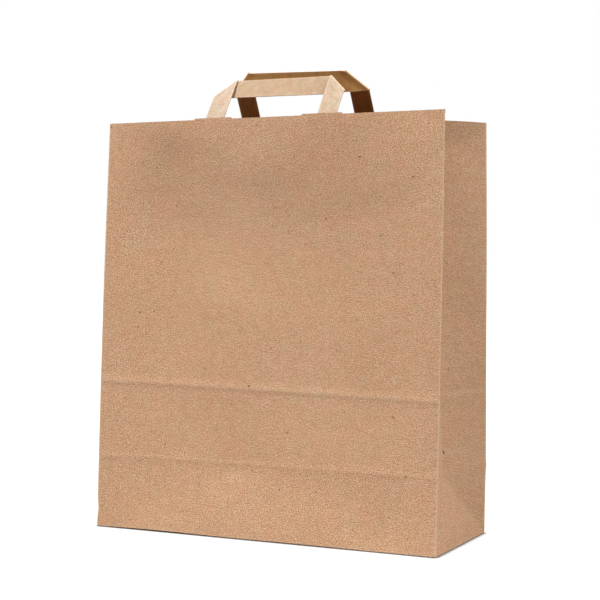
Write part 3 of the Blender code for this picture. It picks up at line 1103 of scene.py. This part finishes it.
# the rear handle's faces that look into the bag, on the legs and the grip, carry the painted shade
# papers
rearHandle = makeHandle("rearHandle", rearHandleValues, rearHeight,
                        (stripKraft, paintedShadeLegKraft, paintedShadeGripKraft, innerPlyAndShadeKraft))
print("handles folded")

# patches glued over the ends of the handles, inside the bag

patchValues = {
    "thickness": 0.0003,
    "height": 0.052,
    "belowBend": 0.004,
    "margin": 0.012,
    "ramp": 0.0022,
    "nearGap": 0.0002,
    "overLeg": 0.00008,
    "waviness": 0.00008,
    "spacing": 0.0035,
}


def makePatch(name, handle, rim, material):
    # it lies on the panel and rides up over each leg on eased ramps
    side = handle["side"]
    top = rim - stripValues["bendBelowRim"] - patchValues["belowBend"]
    half = handle["width"] / 2
    left, right = handle["offset"] - half, handle["offset"] + half
    low, high = left - patchValues["margin"], right + patchValues["margin"]
    ramp, strip = patchValues["ramp"], handle["legWidth"]
    spots = [(edge - ramp, edge + ramp, ramp / 4)
             for edge in (left, left + strip, right - strip, right)]
    x = withFinerSpots(low, high, patchValues["spacing"], spots)[None, :]
    z = np.linspace(top - patchValues["height"], top, 20)[:, None]
    over = smoothStep(left - ramp, left, x) * smoothStep(left + strip + ramp, left + strip, x)
    over = over + smoothStep(right - strip - ramp, right - strip, x) * smoothStep(right + ramp, right, x)
    near = patchValues["nearGap"] + patchValues["thickness"] / 2
    lift = stripValues["glueGap"] + stripValues["thickness"] + patchValues["overLeg"]
    away = near + lift * over + patchValues["waviness"] * (1 + softWave(x, z, 0.03, 53))
    xs, zs = np.broadcast_arrays(x, z)
    points = joined(xs, innerFace(side, xs, zs) - side * away, zs)
    return makeLayer(name, points, joined(xs + 1.3, zs), side < 0, patchValues["thickness"], [material])


frontPatch = makePatch("frontHandlePatch", frontHandleValues, frontHeight, patchKraft)
rearPatch = makePatch("rearHandlePatch", rearHandleValues, rearHeight, patchKraft)
print("patches glued")

for piece, node, slotName in (
    (bagSheet, "bag_sheet", "kraft_sheet"),
    (innerFlap, "bag_sheet", "kraft_sheet"),
    (outerFlap, "bag_sheet", "kraft_sheet"),
    (frontHandle, "front_handle", "kraft_strip"),
    (rearHandle, "rear_handle", "kraft_strip"),
    (frontPatch, "front_handle_patch", "kraft_patch"),
    (rearPatch, "rear_handle_patch", "kraft_patch"),
):
    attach(piece, "root")
    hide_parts(node)
print("pieces ride on the frame")

# stage: white floor and world, a contact shadow painted on the floor, soft studio lamps

stageValues = {
    "floorSize": 14.0,
    "floorDrop": 0.0002,
    "farBounce": 0.35,  # how pale the floor is for the light that it throws back
    "nearBounce": 0.55,
    "nearReach": 0.34,
    "floorGlow": 0.90,
    "shadowReach": 0.60,  # further away than this the floor is plain white
    "floorKeep": 0.22,  # how much of the real light and shadow the camera sees on the floor
    # a contact shadow painted into the floor's glow from ambient occlusion near the bag's edges: its
    # reach and how hard it falls
    "paintedContactShadowReach": 0.005,
    "paintedContactShadowPower": 3.5,
    "worldLight": 0.07,
    "aimHeight": 0.18,  # where on the bag the lamps point
}
lamps = {
    # azimuth and elevation round the bag in degrees, distance and size in metres, watts
    "keyLamp": {"azimuth": -22, "elevation": 62, "distance": 4.0, "size": 0.9, "power": 193.0},
    "sideLamp": {"azimuth": 97, "elevation": 50, "distance": 4.0, "size": 1.4, "power": 124.0},
    "backLamp": {"azimuth": 205, "elevation": 25, "distance": 4.0, "size": 1.4, "power": 60.0},
}


def seenDirectly(tree):
    # 1 for what the camera sees, also in gloss and through glass
    path = tree.nodes.new("ShaderNodeLightPath")
    seen = addMath(tree, "MAXIMUM", path.outputs["Is Camera Ray"], path.outputs["Is Glossy Ray"])
    return addMath(tree, "MAXIMUM", seen, path.outputs["Is Transmission Ray"])


def makeFloor(values):
    size, low = values["floorSize"] / 2, -values["floorDrop"]
    mesh = bpy.data.meshes.new("studioFloor")
    corners = [(-size, -size, low), (size, -size, low), (size, size, low), (-size, size, low)]
    mesh.from_pydata(corners, [], [(0, 1, 2, 3)])
    floor = addObject("studioFloor", mesh)
    material = bpy.data.materials.new("studioFloorWhite")
    material.use_nodes = True
    tree = material.node_tree
    tree.nodes.clear()
    bounce = tree.nodes.new("ShaderNodeBsdfDiffuse")
    kept = tree.nodes.new("ShaderNodeBsdfDiffuse")
    kept.inputs["Color"].default_value = (values["floorKeep"],) * 3 + (1.0,)
    # painted shadow: the floor's glow is darkened by ambient occlusion close to the bag's edges
    paintedContactShadow = tree.nodes.new("ShaderNodeAmbientOcclusion")
    paintedContactShadow.inputs["Distance"].default_value = values["paintedContactShadowReach"]
    paintedContactShadow.samples = 16
    dark = addMath(tree, "POWER", paintedContactShadow.outputs["AO"], values["paintedContactShadowPower"])
    place = tree.nodes.new("ShaderNodeTexCoord")
    away = addLength(tree, place.outputs["Object"])
    plain = addRange(tree, away, values["shadowReach"] / 2, values["shadowReach"],
                     values["floorGlow"], 1.0, smooth=True)
    pale = addRange(tree, away, values["nearReach"] / 2, values["nearReach"],
                    values["nearBounce"], values["farBounce"], smooth=True)
    tree.links.new(pale, bounce.inputs["Color"])
    glow = tree.nodes.new("ShaderNodeEmission")
    tree.links.new(addMath(tree, "MULTIPLY", dark, plain), glow.inputs["Strength"])
    seen = tree.nodes.new("ShaderNodeAddShader")
    tree.links.new(kept.outputs[0], seen.inputs[0])
    tree.links.new(glow.outputs[0], seen.inputs[1])
    mix = tree.nodes.new("ShaderNodeMixShader")
    tree.links.new(seenDirectly(tree), mix.inputs[0])
    tree.links.new(bounce.outputs[0], mix.inputs[1])
    tree.links.new(seen.outputs[0], mix.inputs[2])
    output = tree.nodes.new("ShaderNodeOutputMaterial")
    tree.links.new(mix.outputs[0], output.inputs["Surface"])
    mesh.materials.append(material)


def makeWorld(values):
    world = bpy.data.worlds.new("studioWorld")
    world.use_nodes = True
    tree = world.node_tree
    background = tree.nodes["Background"]
    background.inputs["Color"].default_value = (1.0, 1.0, 1.0, 1.0)
    strength = addRange(tree, seenDirectly(tree), 0.0, 1.0, values["worldLight"], 1.0)
    tree.links.new(strength, background.inputs["Strength"])
    bpy.context.scene.world = world


def makeLamp(name, values):
    light = bpy.data.lights.new(name, "AREA")
    light.shape = "SQUARE"
    light.size = values["size"]
    light.energy = values["power"]
    axes = aimedAxes(values["azimuth"], values["elevation"])
    place = axes[2] * values["distance"] + np.array([0.0, 0.0, stageValues["aimHeight"]])
    standAt(addObject(name, light), axes, place)


makeFloor(stageValues)
makeWorld(stageValues)
for lampName, lampSettings in lamps.items():
    makeLamp(lampName, lampSettings)
bpy.context.scene.view_settings.view_transform = "Standard"
print("stage and lamps set")
